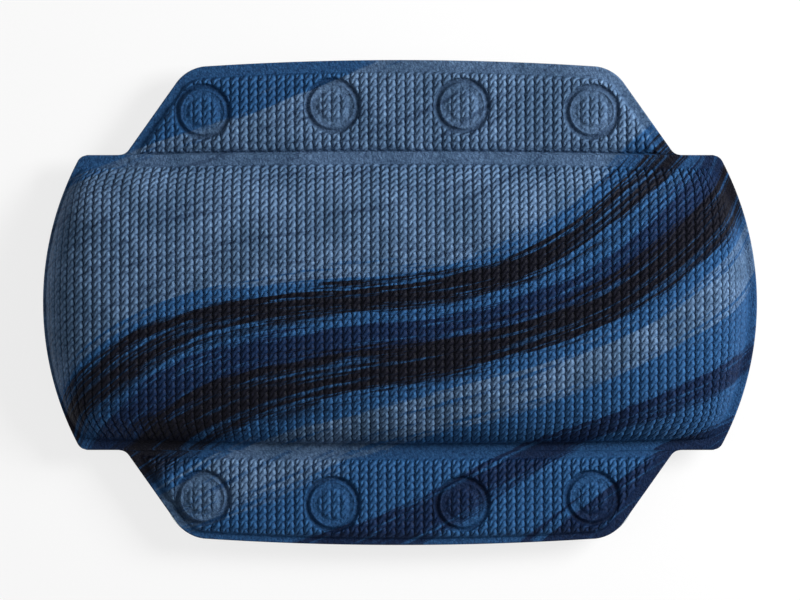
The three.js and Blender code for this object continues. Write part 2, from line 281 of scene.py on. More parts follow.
def sheet_mesh(name, top, outline, roundness, shape, thickness, bend_rows=0, mirrored=False):
    """A closed sheet on the height where front and back meet. top is a grid of points, drawn in from the
    outline by the edge's round. From its edge a quarter circle runs down to the outline, and a wall to the
    floor. The floor is flat: rows up to bend_rows, then long faces with a plain face at either end. With a
    negative thickness the sheet goes downwards, and a mirrored one changes the sign of Y."""
    rows, columns = top.shape[:2]
    loop = edge_loop(rows, columns)
    start, count = rows * columns, len(loop)
    floor, inner = seam_height(), around(top)
    points = [top.reshape(-1, 3)]
    for angle in np.radians([30.0, 55.0, 75.0, 90.0]):
        ring = inner + (outline - inner) * math.sin(angle)
        drop = math.copysign(shape.edge_round, thickness) * (1.0 - math.cos(angle))
        ring[:, 2] = floor + thickness - drop * roundness
        points.append(ring)
    wall = outline.copy()
    wall[:, 2] = floor
    points.append(wall)
    index = np.arange(start).reshape(rows, columns)
    quads = [np.stack([index[:-1, :-1], index[:-1, 1:], index[1:, 1:], index[1:, :-1]], -1).reshape(-1, 4)]
    steps = [loop, *(start + np.arange(5 * count).reshape(5, count))]
    for inside, outside in zip(steps[:-1], steps[1:]):
        quads.append(np.stack([inside, outside, np.roll(outside, -1), np.roll(inside, -1)], -1))
    base = np.full(start, -1)
    base[loop] = steps[-1]
    base = base.reshape(rows, columns)
    floor_rows = top[1:bend_rows + 1, 1:-1].copy()
    floor_rows[:, :, 2] = floor
    base[1:bend_rows + 1, 1:-1] = (
        start + 5 * count + np.arange(floor_rows[..., 0].size).reshape(floor_rows.shape[:2]))
    points.append(floor_rows.reshape(-1, 3))
    kept = [*range(bend_rows + 1), rows - 1]
    for near, far in zip(base[kept[:-1]], base[kept[1:]]):
        quads.append(np.stack([near[:-1], far[:-1], far[1:], near[1:]], -1))
    ends = [base[bend_rows:, 0], base[bend_rows:, -1][::-1]]
    points, faces = np.concatenate(points), np.concatenate(quads)
    if mirrored:
        points[:, 1] *= -1
    if mirrored != (thickness < 0):
        faces = faces[:, ::-1]
        ends = [end[::-1] for end in ends]
    made = mesh_object(name, points, faces, ends)
    keep_sharp(made, steps[4][roundness < 0.01])
    cut = np.zeros(len(points))
    cut[steps[3][0]:] = 1.0
    cut[steps[3]] = cut[steps[4]] = 0.6 * roundness
    point_values(made, "cut", cut)
    return made


def mesh_object(name, points, quads, others=()):
    """An object at the origin with the given points and faces, smooth shaded."""
    mesh = bpy.data.meshes.new(name)
    mesh.from_pydata(points.tolist(), [], quads.tolist() + [list(map(int, face)) for face in others])
    mesh.polygons.foreach_set("use_smooth", np.ones(len(mesh.polygons), bool))
    mesh.update()
    return linked(name, mesh)


def linked(name, data):
    """A new object in the scene, at the origin."""
    made = bpy.data.objects.new(name, data)
    bpy.context.scene.collection.objects.link(made)
    return made


def keep_sharp(made, vertices):
    """Marks the edges that join two of the given vertices as sharp."""
    mesh = made.data
    ends = np.zeros(len(mesh.edges) * 2, np.int64)
    mesh.edges.foreach_get("vertices", ends)
    chosen = np.isin(ends, vertices).reshape(-1, 2).all(axis=1)
    sharp = mesh.attributes.get("sharp_edge") or mesh.attributes.new("sharp_edge", "BOOLEAN", "EDGE")
    sharp.data.foreach_set("value", chosen)


def point_values(made, name, values):
    """Stores a number or a vector for each vertex, for the material to read."""
    kind, field = ("FLOAT_VECTOR", "vector") if values.size > len(values) else ("FLOAT", "value")
    attribute = made.data.attributes.new(name, kind, "POINT")
    attribute.data.foreach_set(field, values.astype(np.float32).ravel())


def grid_values(made, name, *grids):
    """Stores values given on a sheet's grid. The vertices past the grid take them from its edge."""
    values = np.stack(grids, -1).reshape(-1, len(grids))
    past = np.resize(edge_loop(*grids[0].shape), len(made.data.vertices) - len(values))
    point_values(made, name, np.concatenate([values, values[past]]))


# The outline

def bow(y, shape, inset=0.0):
    """Half the body's length at y: a circular bow out past the ears, less the round of the ear's corner."""
    bend = 2 * shape.end_bow / (shape.end_bow ** 2 + shape.ear_line ** 2)
    arc = shape.half_length - bend * y ** 2 / (1 + np.sqrt(1 - (bend * y) ** 2))
    radius = shape.ear_corner - inset
    rise = np.clip(np.abs(y) - (shape.ear_line - shape.ear_corner), 0.0, radius)
    return arc - inset - (radius - np.sqrt(np.maximum(0.0, radius ** 2 - rise ** 2)))


def free_edge(x, shape):
    """A flap's free edge: a shallow circular arc over the fold line."""
    radius = shape.flap_bow_radius
    return shape.ear_line + shape.flap_depth - radius + np.sqrt(radius ** 2 - x ** 2)


def flap_frame(shape):
    """A flap's side: its direction and outward normal, the point where it leaves the ear line, the corner's
    centre, and the angle at which the corner meets the free edge."""
    lean = shape.flap_lean
    along = np.array([-math.sin(lean), math.cos(lean)])
    outward = np.array([math.cos(lean), math.sin(lean)])
    foot = np.array([shape.half_length - shape.end_bow - shape.ear_shoulder, shape.ear_line])
    sharp = foot.copy()
    for _ in range(20):
        sharp += along * (free_edge(sharp[0], shape) - sharp[1]) / along[1]
    finish = math.atan2(1.0, sharp[0] / shape.flap_bow_radius)
    back = shape.flap_corner * math.tan((finish - lean) / 2)
    return along, outward, foot, sharp - along * back - outward * shape.flap_corner, finish


def directions(angles):
    """Unit vectors in the plane at the given angles."""
    return np.stack([np.cos(angles), np.sin(angles)], -1)


def flap_side(shape, spacing):
    """A flap's right side from the fold to its free edge, as cut and as drawn in by the edge's round: it has
    a hollow foot, a straight slope and a round corner."""
    along, outward, foot, corner, finish = flap_frame(shape)
    lean, inset, hollow = shape.flap_lean, shape.edge_round, shape.flap_foot
    tangent = hollow / math.tan((math.pi / 2 + lean) / 2)
    curve = foot + [tangent, hollow] + hollow * directions(np.linspace(-math.pi / 2, lean - math.pi, 8))
    first = inset * (1 + outward[1]) / along[1]
    curve_inner = foot - inset * outward + along * np.linspace(first, tangent, 8)[:, None]
    run = np.linalg.norm(corner + outward * shape.flap_corner - foot)
    line = foot + along * np.linspace(tangent, run, int((run - tangent) / spacing))[1:, None]
    normals = directions(np.linspace(lean, finish, int(shape.flap_corner * (finish - lean) / spacing))[1:])
    outer = [curve, line, corner + shape.flap_corner * normals]
    inner = [curve_inner, line - inset * outward, corner + (shape.flap_corner - inset) * normals]
    return np.concatenate(outer), np.concatenate(inner)


def rim_distance(x, y, side, shape):
    """How far a point lies inside the edge of a flap's padding: the distance to the slanted side, the free
    edge or the round corner, less the margin there."""
    along, outward, foot, corner, finish = flap_frame(shape)
    x = np.abs(x)
    rim = shape.rim_margin - side * shape.weld_shift
    from_side = (foot[0] - x) * outward[0] + (foot[1] - y) * outward[1]
    from_edge = free_edge(x, shape) - y
    angle, reach = np.arctan2(y - corner[1], x - corner[0]), np.hypot(x - corner[0], y - corner[1])
    turned = ease((angle - shape.flap_lean) / (finish - shape.flap_lean))
    in_corner = shape.flap_corner - reach - shape.side_margin - (rim - shape.side_margin) * turned
    plain = np.minimum(from_side - shape.side_margin, from_edge - rim)
    return np.where((angle > shape.flap_lean) & (angle < finish), in_corner, plain)


# The embossing

def rope_twists(across, turns, emboss):
    """How many strands lie between the middle and a place across it, drifting slowly between ropes."""
    return across / emboss.twist_pitch + 0.16 * np.sin(turns * 0.31) + 0.05 * np.sin(turns * 0.83 + 1.0)


def rope_relief(turns, twists, emboss):
    """Height of the ropes. Each strand bulges sideways by the size of a sine along the rope. Across a rope
    the height is a low power of a half sine. The grooves between strands climb across it as a quarter sine,
    and their walls fall off as exponentials, more gently above the groove."""
    bulge = np.abs(np.sin(np.pi * (twists - emboss.scallop_place)))
    turns = turns - emboss.scallop * (bulge - MEAN_BULGE)
    place = turns - np.floor(turns)
    dome = np.maximum(0.0, np.sin(np.pi * place)) ** DOME_POWER
    climb = np.sin(np.pi / 2 * np.clip((place - CLIMB_FROM) / CLIMB_WIDTH, 0, 1))
    strand = twists - emboss.twist_lean * climb
    strand -= np.floor(strand)
    groove = (np.exp(-strand / WALL_ABOVE) + np.exp((strand - 1) / WALL_BELOW) - 0.55) / 0.56
    swelling = 1 + 0.10 * np.sin(twists * 1.7 + turns * 2.3) * np.sin(twists * 0.6 - turns * 1.1)
    return emboss.rope_height * (dome * swelling - 0.45) - emboss.strand_depth * dome * swelling * groove


def rope_arch(turns, emboss):
    """How far a rope's end is rounded off at a place across it: a circle's rise."""
    place = 2 * (turns - np.floor(turns)) - 1
    return emboss.rope_end * (1 - np.sqrt(1 - place ** 2 * 0.96))


def lean_inward(along, across, foot_top, foot_bottom):
    """How far the ropes lean in: a power of their distance from the middle, fading away from the seams."""
    reach, most = 0.011, 0.0054
    near_top = np.clip(1 - (foot_top - across) / reach, 0, 1)
    near_bottom = np.clip(1 - (across - foot_bottom) / reach, 0, 1)
    top = 0.00125 * (np.abs(along) / 0.1009) ** 3.6 * near_top ** 1.5
    bottom = 0.0030 * (np.abs(along) / 0.0973) ** 2.4 * near_bottom ** 1.35
    return np.sign(along) * np.minimum(top + bottom, most)


# The body

def crown(share_along, share_across, shape):
    """The crown's height from 0 to 1: each profile is one less a high power, drawn to a round shoulder."""
    along = np.maximum(0.0, 1 - np.abs(share_along) ** shape.crown_along)
    across = np.maximum(0.0, 1 - np.abs(share_across) ** shape.crown_across)
    return (along * across) ** shape.crown_shoulder


def body_rows(shape, spacing):
    """Places across the body, at even steps over the crown, with how far along the sheet they lie from its
    middle and their shares of the crown's half width. On steep parts the sheet is stretched."""
    steepest = 0.83
    half = shape.ear_line - shape.seam_margin
    shares = np.sin(np.linspace(-math.pi / 2, math.pi / 2, 4001))
    height = shape.crown_height * crown(0.0, shares, shape)
    places = even_steps(half * shares, height, spacing)
    step = np.diff(half * shares)
    slope = np.minimum(np.abs(np.diff(height)) / step, steepest)
    stretched = np.concatenate([[0.0], np.cumsum(np.sqrt(1 + slope ** 2) * step)])
    run = np.interp(places, half * shares, stretched - stretched[-1] / 2)
    edge = shape.ear_line - shape.edge_round
    low, high = shape.crown_shift - half, shape.crown_shift + half
    below = np.linspace(-edge, low, int((low + edge) / spacing) + 2)[:-1]
    above = np.linspace(high, edge, int((edge - high) / spacing) + 2)[1:]
    across = np.concatenate([below, shape.crown_shift + places, above])
    distance = np.concatenate([run[0] - (low - below), run, run[-1] + (above - high)])
    return across, distance, (across - shape.crown_shift) / half


def body_columns(shape, emboss, cell):
    """Places along the body that keep step with the ropes, and even steps over the shoulder at either end, as
    shares of the way to it."""
    reach = int(BODY_IN_STEP / cell)
    middle = emboss.rope_start + cell * np.arange(-reach, reach + 1)
    end = shape.half_length - shape.end_margin
    shoulders = []
    for start in (-middle[0], middle[-1]):
        fine = start + (end - start) * np.sin(np.linspace(0, math.pi / 2, 2001))
        height = shape.crown_height * crown(fine / end, 0.0, shape)
        shoulders.append((even_steps(fine, height, cell)[1:] - start) / (end - start))
    return middle, *shoulders


def crown_feet(x, shape):
    """Where the crown starts at the top and at the bottom: a parabola that draws in towards the ends."""
    crown_end = 0.145
    half = shape.ear_line - shape.seam_margin - shape.crown_waist * (x / crown_end) ** 2
    return shape.crown_shift + half, shape.crown_shift - half


def bowed_rows(across, x, shape):
    """Rows across the body, drawn in with the crown's sides."""
    edge = shape.ear_line - shape.edge_round
    top, bottom = crown_feet(x, shape)
    top_flat, bottom_flat = crown_feet(0.0, shape)
    inside = shape.crown_shift + (across - shape.crown_shift) * (top - bottom) / (top_flat - bottom_flat)
    above = edge - (edge - across) * (edge - top) / (edge - top_flat)
    below = -edge + (edge + across) * (edge + bottom) / (edge + bottom_flat)
    return np.where(across > top_flat, above, np.where(across < bottom_flat, below, inside))


def columns_at(y, shape, middle, left, right):
    """Places along the body for given places across it, how far the ropes lean there, and the crown's end.
    Three columns at either end lie on the flat edge past the crown."""
    before, after = len(left) + 3, len(right) + 3
    lean = lean_inward(middle, y[:, before:-after], *crown_feet(middle, shape))
    inner = middle - lean
    edge = bow(y, shape, shape.edge_round)
    end = edge - (shape.end_margin - shape.edge_round) - shape.ear_margin * (y / shape.ear_line) ** 16
    rim = np.array([1 / 3, 2 / 3, 1.0])
    east, west = shape.crown_slide + end, shape.crown_slide - end
    x = np.concatenate([
        west[:, :3] + (end - shape.crown_slide - edge)[:, :3] * rim[::-1],
        inner[:, :1] + (west[:, 3:before] - inner[:, :1]) * left[::-1],
        inner,
        inner[:, -1:] + (east[:, -after:-3] - inner[:, -1:]) * right,
        east[:, -3:] + (edge - shape.crown_slide - end)[:, -3:] * rim,
    ], axis=1)
    return x, np.pad(lean, ((0, 0), (before, after)), mode="edge"), end


def body_grid(shape, emboss, cell, spacing):
    """The body before it is embossed: places along and across, the crown's share, how far along the sheet
    each point lies both ways, and how far it is from the padding's end."""
    across, distance, share_across = body_rows(shape, spacing)
    columns = body_columns(shape, emboss, cell)
    flat = np.tile(across[:, None], (1, sum(map(len, columns)) + 6))
    y = bowed_rows(flat, columns_at(flat, shape, *columns)[0], shape)
    x, lean, end = columns_at(y, shape, *columns)
    centred = x - shape.crown_slide
    risen = crown(np.clip(centred / end, -1, 1), np.clip(share_across, -1, 1)[:, None], shape)
    return x, y, risen, x + lean, distance[:, None] + y - across[:, None], end - np.abs(centred)


def body_sheet(name, x, y, points, along, shape, thickness):
    """A sheet of the body. Its edge is rounded where it is cut, and sharp where a flap carries on from it.
    along holds the points' places on the flat sheet."""
    edge = shape.ear_line - shape.edge_round
    outline_y = y * (shape.ear_line / edge)
    half = bow(outline_y, shape)
    end_rows = np.abs(np.abs(y) - edge) < 1e-7
    outline_x = np.where(end_rows, x / np.abs(x).max(axis=1, keepdims=True) * half, np.sign(x) * half)
    outline = around(np.stack([outline_x, outline_y, np.zeros_like(x)], -1))
    past_flap, widening = 0.0028, 0.0025
    fold_end = shape.half_length - shape.end_bow - shape.ear_shoulder + past_flap
    on_fold = np.abs(np.abs(outline[:, 1]) - shape.ear_line) < 1e-7
    roundness = np.where(on_fold, ease((np.abs(outline[:, 0]) - fold_end) / widening), 1.0)
    made = sheet_mesh(name, points, outline, roundness, shape, thickness)
    grid_values(made, "sheet_place", *along, np.zeros_like(x))
    return made


def slow_waves(x, y):
    """A gentle unevenness of hand-filled foam, from minus one to one."""
    return 0.5 * np.sin(x * 61 + 0.7) * np.sin(y * 83 + 1.1) + 0.5 * np.sin(x * 37 - y * 52 + 2.0)


def build_body_front(shape, emboss):
    """The body's front: the crown's share of its height on the flat sheet, and ropes along its normals."""
    uneven, end_rise, pinch_depth = 0.0003, 0.0012, 0.0006
    x, y, risen, along, distance, from_end = body_grid(shape, emboss, *relief_cell(emboss))
    base = seam_height() + shape.front_sheet
    z = base + shape.crown_height * risen + uneven * slow_waves(x, y) * risen
    points = np.stack([x, y, z], -1)
    turns = (along + crowding(x, from_end, emboss) - emboss.rope_start) / emboss.rope_pitch
    twists = rope_twists(distance, turns, emboss)
    past_start = from_end - emboss.end_fade_start
    pressed = emboss.end_press * ease(past_start / end_rise)
    pressed += (1 - emboss.end_press) * ease(past_start / emboss.end_fade_width)
    pressed = pressed * ease((inside_long_sides(distance, risen) - rope_arch(turns, emboss)) / ROPE_END_FADE)
    pinch = pinches(x, y)
    relief = rope_relief(turns, twists, emboss) * pressed - pinch_depth * pinch
    points = points + grid_normals(points) * relief[..., None]
    gathered = along + crowding(x, bow(y, shape) - np.abs(x), emboss)
    made = body_sheet("body_front_padding", x, y, points, (gathered, distance), shape, shape.front_sheet)
    grid_values(made, "rope_place", turns, twists, pressed)
    # The puckers are stored as crease, which the material darkens as painted shade.
    grid_values(made, "crease", pinch)
    return made


def relief_cell(emboss):
    """The size of a cell of the embossed sheets along and across."""
    steps_per_strand = 9
    return emboss.rope_pitch / emboss.cells_per_rope, emboss.twist_pitch / steps_per_strand


def crowding(x, from_end, emboss):
    """How much of the sheet is gathered over the body's steep ends: a parabola near the end."""
    return np.sign(x) * 0.45 * np.maximum(0.0, emboss.end_crowding - from_end) ** 2 / emboss.end_crowding


def inside_long_sides(distance, risen):
    """How far each point lies inside the crown's long sides, measured along the sheet."""
    crowned = risen.max(axis=1) > 0
    low, high = distance[crowned].min(axis=0), distance[crowned].max(axis=0)
    return np.minimum(distance - low, high - distance)


def pinches(x, y):
    """Two short slanting puckers beside an ear: bell curves."""
    length, width = 0.0011, 0.0005
    total = np.zeros_like(x)
    for east, north in ((-0.1219, 0.0628), (-0.1185, 0.0618)):
        along = ((x - east) + (y - north)) / math.sqrt(2)
        across = ((x - east) - (y - north)) / math.sqrt(2)
        total += np.exp(-(along / length) ** 2 - (across / width) ** 2)
    return np.minimum(total, 1.0)


def build_body_back(shape, emboss):
    """The body's plain back. Its depth is a smooth minimum of the cups' height and the fuller crown."""
    x, y, risen, along, distance, _ = body_grid(shape, emboss, cell=0.0021, spacing=0.0019)
    fuller = shape.back_fullness * risen
    soft = 0.06
    depth = 0.5 * (fuller + 1 - np.sqrt((fuller - 1) ** 2 + soft)) - 0.5 * (1 - math.sqrt(1 + soft))
    base = seam_height() - shape.back_sheet
    points = np.stack([x, y, base * (1 - depth / depth.max())], -1)
    return body_sheet("body_back_sheet", x, y, points, (along, distance), shape, -shape.back_sheet)


# The flaps

def shoulder(distance, width):
    """The rounded edge of a flap's padding: one less a square, drawn to a rounder shoulder."""
    return (1 - (1 - np.clip(distance / width, 0, 1)) ** 2) ** 0.7


def flap_grid(shape, start, cell, spacing):
    """A flap before it is padded, with its outline and the outline's roundness. Its rows follow the side and
    bow with the free edge. Its columns are straight over the middle and fan out to the sides."""
    outer, inner = flap_side(shape, spacing)
    side_x, side_y = inner[:, :1], inner[:, 1:]
    fan_width, rounding_rows = 0.060, 7.0
    reach = int(FLAP_IN_STEP / cell)
    middle = start + cell * np.arange(-reach, reach + 1)
    fan = np.linspace(0, 1, int(fan_width / cell) + 1)[1:]
    right = middle[-1] + (side_x - middle[-1]) * fan
    left = middle[0] + (-side_x - middle[0]) * fan
    x = np.concatenate([left[:, ::-1], np.broadcast_to(middle, (len(inner), len(middle))), right], axis=1)
    bowed = (side_y - side_y[0]) / (side_y[-1] - side_y[0])
    y = side_y + bowed * (free_edge(x, shape) - free_edge(side_x, shape))
    outline = np.stack([x, y, np.zeros_like(x)], -1)
    outline[0, :, 0] *= outer[0, 0] / inner[0, 0]
    outline[0, :, 1] = shape.ear_line
    outline[-1, :, 0] *= outer[-1, 0] / inner[-1, 0]
    outline[-1, :, 1] = free_edge(outline[-1, :, 0], shape)
    outline[1:, -1, :2] = outer[1:]
    outline[1:, 0, :2] = outer[1:] * [-1, 1]
    roundness = np.zeros_like(x)
    roundness[:, [0, -1]] = ease(np.arange(len(x)) / rounding_rows)[:, None]
    roundness[-1] = 1.0
    return x, y, (around(outline), around(roundness))


def flap_sheet(name, side, x, y, z, edge, along, shape, thickness):
    """A sheet of a flap from its grid. Its flat underside has whole rows over the band beside the fold."""
    bend_rows = int((y[:, 0] < shape.ear_line + shape.bend_width + 0.001).sum())
    made = sheet_mesh(name, np.stack([x, y, z], -1), *edge, shape, thickness, bend_rows, side < 0)
    grid_values(made, "sheet_place", x, along, np.zeros_like(x))
    return made


def ring_profile(radius, emboss):
    """A ring weld: a groove, a low ridge inside it and a shallow sunk band, each a bell curve or step."""
    ridge_height, ridge_inset, ridge_width = 0.0006, 0.0017, 0.0005
    band_depth, band_from, band_to = 0.0006, 0.0054, 0.0104
    groove = -emboss.ring_depth * hump(radius, emboss.ring_radius, emboss.ring_width)
    ridge = ridge_height * hump(radius + ridge_inset, emboss.ring_radius, ridge_width)
    band = -band_depth * ease((radius - band_from) / 0.0022) * ease((band_to - radius) / 0.0012)
    return groove + ridge + band


def ring_pressing(radius, emboss):
    """How much of the ropes a ring weld leaves: all outside it, little in its band, most in its middle."""
    in_band, in_middle, middle_radius, step = 0.32, 0.85, 0.0074, 0.0008
    outside = ease((radius - emboss.ring_radius - 0.0006) / step)
    band = in_band * ease((emboss.ring_radius - 0.0018 - radius) / step)
    return outside + band + (in_middle - in_band) * ease((middle_radius - radius) / 0.0022)


def build_flap_front(place, shape, emboss):
    """A flap's padded front: ropes on a low pad, with four ring welds pressed into it."""
    side = SIDES[place]
    fold_end, uneven = 0.117, 0.0002
    start = emboss.flap_rope_start
    cell, spacing = relief_cell(emboss)
    x, y, edge = flap_grid(shape, start, cell, spacing / math.cos(shape.flap_lean))
    margin = shape.fold_margin + side * shape.weld_shift - shape.fold_waist * (x / fold_end) ** 2
    from_fold = y - shape.ear_line - margin
    from_rim = rim_distance(x, y, side, shape)
    risen = shoulder(from_fold, shape.fold_shoulder) * shoulder(from_rim, shape.pad_shoulder)
    turns = (x - start) / emboss.rope_pitch
    twists = rope_twists(side * y, turns, emboss)
    arch = rope_arch(turns, emboss)
    pressed = ease((from_fold - arch) / ROPE_END_FADE) * ease((from_rim - arch * 0.5) / ROPE_END_FADE)
    rings = np.zeros_like(x)
    crease = np.zeros_like(x)
    for number in range(1, ROW_OF_CUPS + 1):
        middle = box_centre(f"{place}_suction_cup_{number}")
        radius = np.hypot(x - middle.x - emboss.ring_slide, y - side * middle.y)
        rings += ring_profile(radius, emboss)
        # crease marks the ring welds' grooves, which the material darkens as painted shade.
        crease += hump(radius, emboss.ring_radius, emboss.ring_width)
        pressed = pressed * ring_pressing(radius, emboss)
    base = seam_height() + shape.front_sheet
    z = base + shape.pad_height * risen + uneven * slow_waves(x, side * y) * risen
    z = z + rope_relief(turns, twists, emboss) * pressed + rings
    flat_y = side * (y - shape.ear_line + body_rows(shape, spacing)[1].max())
    made = flap_sheet(f"{place}_flap_front_padding", side, x, y, z, edge, flat_y, shape, shape.front_sheet)
    grid_values(made, "rope_place", turns, twists, pressed)
    grid_values(made, "crease", crease)
    return made


def build_flap_back(place, shape):
    """A flap's plain flat back sheet."""
    side = SIDES[place]
    x, y, edge = flap_grid(shape, start=0.0, cell=0.0022, spacing=0.0008)
    z = np.full_like(x, seam_height() - shape.back_sheet)
    return flap_sheet(f"{place}_flap_back_sheet", side, x, y, z, edge, side * y, shape, -shape.back_sheet)


# The suction cups

def arc_points(x, z, radius, start, finish, steps):
    """Points on a circle in the plane of a profile, by angle in degrees."""
    return np.array([x, z]) + radius * directions(np.radians(np.linspace(start, finish, steps)))


def cup_profile(cup, height):
    """Half a cup's section, from the middle of its flange round to the middle of its hollow. The bell and the
    hollow each fall as a power of the radius."""
    edge, fillet, root = 0.0004, 0.0014, 0.0010
    under = height - cup.flange_thickness
    lip = cup.lip_thickness
    hollow_radius = cup.radius - cup.lip_width
    weld = np.linspace(cup.flange_radius - edge, cup.neck_radius + fillet, 36)
    groove = 0.00045 * hump(weld, cup.weld_radius, 0.00045)
    bell = np.linspace(cup.neck_radius + root, cup.radius, 26)[:-1]
    bell_rise = cup.hollow_height + cup.wall - lip
    bell_height = lip + bell_rise * (1 - (bell / cup.radius) ** cup.bell_power)
    inside = np.linspace(hollow_radius, 0.0, 34)
    inside_height = cup.hollow_height * (1 - (inside / hollow_radius) ** cup.bell_power)
    rib = -0.00022 * hump(inside, 0.0128, 0.00035)
    nub = -0.0005 * hump(inside, 0.0, 0.0014)
    return np.concatenate([
        [[0.0, height]],
        arc_points(cup.flange_radius - edge, height - edge, edge, 90, 0, 5),
        arc_points(cup.flange_radius - edge, under + edge, edge, 0, -90, 5),
        np.stack([weld, under + groove], -1)[1:],
        arc_points(cup.neck_radius + fillet, under - fillet, fillet, 90, 180, 7)[1:],
        arc_points(cup.neck_radius + root, bell_height[0] + root, root, 180, 262, 6),
        np.stack([bell, bell_height], -1)[1:],
        arc_points(cup.radius - lip / 2, lip / 2, lip / 2, 75, -90, 7),
        np.stack([inside, inside_height + (rib + nub) * (inside < hollow_radius)], -1),
    ])


def build_cup(node, cup):
    """A clear suction cup: its profile turned about its own axis."""
    middle = box_centre(node)
    profile = cup_profile(cup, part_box(node)[1].z)
    angles = np.linspace(0, 2 * math.pi, cup.sides, endpoint=False)
    ring = profile[1:-1, :, None]
    x, y = middle.x + ring[:, 0] * np.cos(angles), middle.y + ring[:, 0] * np.sin(angles)
    body = np.stack([x, y, np.broadcast_to(ring[:, 1], x.shape)], -1).reshape(-1, 3)
    poles = [[middle.x, middle.y, profile[0, 1]], [middle.x, middle.y, profile[-1, 1]]]
    index = np.arange(x.size).reshape(x.shape)
    beside = np.roll(index, -1, axis=1)
    quads = np.stack([index[:-1], index[1:], beside[1:], beside[:-1]], -1).reshape(-1, 4)
    fans = [(x.size, first, second) for first, second in zip(index[0], beside[0])]
    fans += [(second, first, x.size + 1) for first, second in zip(index[-1], beside[-1])]
    return mesh_object(f"{node}_moulded", np.concatenate([body, poles]), quads, fans)


# Materials

class Value:
    """A node's output. Arithmetic on it adds Math nodes to the same node tree."""

    def __init__(self, socket):
        self.socket = socket
        self.tree = socket.id_data

    def __add__(self, other):
        return maths("ADD", self, other)

    def __sub__(self, other):
        return maths("SUBTRACT", self, other)

    def __rsub__(self, other):
        return maths("SUBTRACT", other, self)

    def __mul__(self, other):
        return maths("MULTIPLY", self, other)

    def __truediv__(self, other):
        return maths("DIVIDE", self, other)


def maths(operation, *values):
    """The result of a Math node, at least one of whose inputs is another node's output."""
    tree = next(value.tree for value in values if isinstance(value, Value))
    return node(tree, "ShaderNodeMath", 0, dict(enumerate(values)), operation=operation)


def feed(socket, value):
    """Links an input to another node's output, or sets it to a plain value or an opaque colour."""
    if isinstance(value, Value):
        value.tree.links.new(value.socket, socket)
    else:
        socket.default_value = (*value, 1.0) if socket.type == "RGBA" else value


def node(tree, kind, output, inputs, **settings):
    """An output of a new node, whose inputs are fed by name or number."""
    made = tree.nodes.new(kind)
    for name, value in settings.items():
        setattr(made, name, value)
    for label, value in inputs.items():
        feed(made.inputs[label], value)
    return Value(made.outputs[output])


def rise(value, low, high):
    """A smooth rise from 0 to 1 as a value goes from low to high."""
    inputs = {"Value": value, "From Min": low, "From Max": high}
    return node(value.tree, "ShaderNodeMapRange", "Result", inputs, interpolation_type="SMOOTHSTEP")


def bell(value, middle, width):
    """A bell curve of a value: 1 at the middle, and about a tenth at one and a half widths from it."""
    away = (value - middle) / width
    return maths("EXPONENT", away * away * -1.0)


def between(factor, first, second, blend_type="MIX"):
    """A colour between two others."""
    inputs = {0: factor, 6: first, 7: second}
    return node(factor.tree, "ShaderNodeMix", 2, inputs, data_type="RGBA", blend_type=blend_type)


def noise(vector, scale, detail, roughness):
    """A cloudy pattern from 0 to 1."""
    inputs = {"Vector": vector, "Scale": scale, "Detail": detail, "Roughness": roughness}
    return node(vector.tree, "ShaderNodeTexNoise", "Fac", inputs)


def bump(height, depth, **under):
    """A bumpy normal, over another where one is given."""
    inputs = {"Height": height, "Distance": depth, "Strength": 1.0, **under}
    return node(height.tree, "ShaderNodeBump", "Normal", inputs)


def attribute(tree, name, output="Vector"):
    """A piece's own stored values."""
    return node(tree, "ShaderNodeAttribute", output, {}, attribute_name=name)


def apart(vector):
    """The three parts of a vector."""
    first = node(vector.tree, "ShaderNodeSeparateXYZ", 0, {"Vector": vector})
    return list(map(Value, first.socket.node.outputs))


def values_of(made):
    """A node's outputs by name."""
    return {socket.name: Value(socket) for socket in made.outputs}


def shader_group(name, inputs, outputs):
    """A node group and the sockets inside it. An input without a number is a vector."""
    tree = bpy.data.node_groups.new(name, "ShaderNodeTree")
    for label, default in inputs.items():
        kind = "NodeSocketVector" if default is None else "NodeSocketFloat"
        socket = tree.interface.new_socket(label, in_out="INPUT", socket_type=kind)
        if default is not None:
            socket.default_value = default
    for label in outputs:
        tree.interface.new_socket(label, in_out="OUTPUT", socket_type="NodeSocketFloat")
    return tree, values_of(tree.nodes.new("NodeGroupInput")), tree.nodes.new("NodeGroupOutput").inputs


def placed(tree, group, **inputs):
    """The outputs of a node group put into a material, its inputs fed by name."""
    first = node(tree, "ShaderNodeGroup", 0, inputs, node_tree=bpy.data.node_groups[group])
    return values_of(first.socket.node)


def grain_group():
    """Leather-like grain: rounded cells with finer noise over them, and a slow mottling."""
    _, given, result = shader_group("sheet_grain", {"Place": None, "Size": 0.001}, ("Height", "Mottling"))
    scale = maths("DIVIDE", 1.0, given["Size"])
    inputs = {"Vector": given["Place"], "Scale": scale, "Smoothness": 0.35}
    cells = node(scale.tree, "ShaderNodeTexVoronoi", "Distance", inputs, feature="SMOOTH_F1")
    fine = noise(given["Place"], scale * 2.3, 3.0, 0.6)
    feed(result["Height"], fine * 0.7 + cells * -0.6)
    feed(result["Mottling"], noise(given["Place"], scale * 0.07, 4.0, 0.6))


